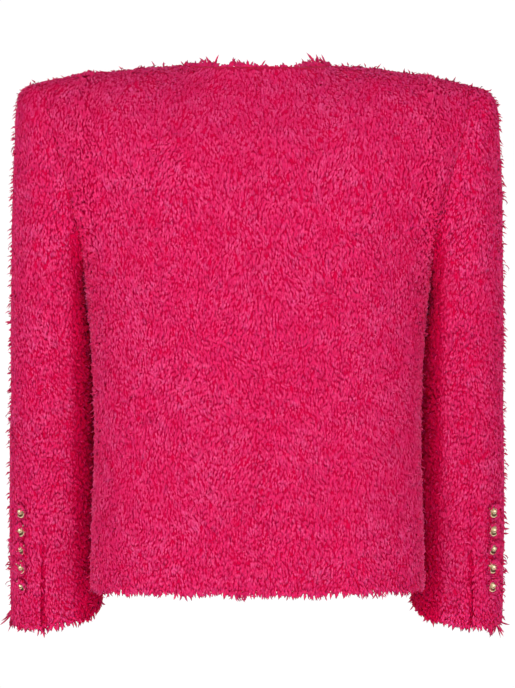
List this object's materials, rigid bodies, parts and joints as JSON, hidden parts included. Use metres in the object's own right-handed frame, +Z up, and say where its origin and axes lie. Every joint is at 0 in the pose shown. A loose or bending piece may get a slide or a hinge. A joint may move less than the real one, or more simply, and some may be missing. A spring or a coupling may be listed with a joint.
{
  "type": "cropped tweed jacket",
  "caption": "Hollow collarless cropped jacket in hot pink boucle tweed, filled out as worn, with frayed edges and small antique gold buttons up the cuff vents.",
  "frame": {"origin": "middle of the neck opening at the height of the two neck points of the shoulder seams, where the wearer's shoulders carry the jacket", "axes": "+X to the wearer's left, -Y out of the front, +Y out of the back, +Z up; the jacket hangs in -Z"},
  "size_m": [0.5474, 0.2408, 0.624],
  "materials": {
    "tweed": "long-pile boucle, soft sheen",
    "yarn": "frayed yarn ends",
    "button_gold": "antique gold plate"
  },
  "bodies": {
    "root": {"back_left": "tweed", "back_right": "tweed", "front_left": "tweed", "front_right": "tweed", "sleeve_top_left": "tweed", "sleeve_top_right": "tweed", "sleeve_under_left": "tweed", "sleeve_under_right": "tweed", "vent_underlap_left": "tweed", "vent_underlap_right": "tweed", "button_left_1": "button_gold", "button_left_2": "button_gold", "button_left_3": "button_gold", "button_left_4": "button_gold", "button_left_5": "button_gold", "button_right_1": "button_gold", "button_right_2": "button_gold", "button_right_3": "button_gold", "button_right_4": "button_gold", "button_right_5": "button_gold", "fringe_hem_back": "yarn", "fringe_hem_front_left": "yarn", "fringe_hem_front_right": "yarn", "fringe_neck_back": "yarn", "fringe_neck_front_left": "yarn", "fringe_neck_front_right": "yarn", "fringe_front_left": "yarn", "fringe_front_right": "yarn", "fringe_cuff_left": "yarn", "fringe_cuff_right": "yarn"}
  },
  "joints": []
}
